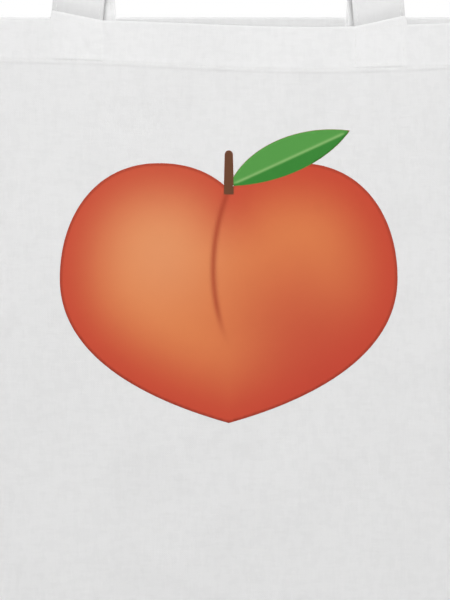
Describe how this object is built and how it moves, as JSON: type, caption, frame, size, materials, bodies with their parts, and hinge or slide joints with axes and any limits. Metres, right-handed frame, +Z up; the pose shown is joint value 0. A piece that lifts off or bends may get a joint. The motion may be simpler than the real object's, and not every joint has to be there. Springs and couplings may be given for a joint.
{
  "type": "tote bag",
  "caption": "Flat cotton tote bag with two long flat strap handles, a turned hem at its open mouth and a printed peach on the front, hanging by its handles.",
  "frame": {"origin": "the hanging point: the middle of the underside of the handles' arch, where a peg, a hook or a rail bears", "axes": "+Z up, +X to the right as the bag's front is seen, +Y from the printed front to the back"},
  "size_m": [0.38, 0.065, 0.7278],
  "materials": {
    "cotton": "plain woven, matte",
    "strap": "folded plain woven cotton, matte",
    "thread": "spun cotton sewing thread",
    "overlock": "overlocked cloth edge, matte",
    "ink": "matte textile print"
  },
  "bodies": {
    "root": {"front_panel": "cotton", "back_panel": "cotton", "peach_print": "ink", "left_side_seam": "overlock", "right_side_seam": "overlock", "bottom_seam": "overlock", "front_handle": "strap", "back_handle": "strap", "front_handle_inner_edge_thread": "thread", "front_handle_outer_edge_thread": "thread", "back_handle_inner_edge_thread": "thread", "back_handle_outer_edge_thread": "thread", "front_hem_thread": "thread", "back_hem_thread": "thread", "front_left_strap_end_thread": "thread", "front_right_strap_end_thread": "thread", "back_left_strap_end_thread": "thread", "back_right_strap_end_thread": "thread"}
  },
  "joints": []
}
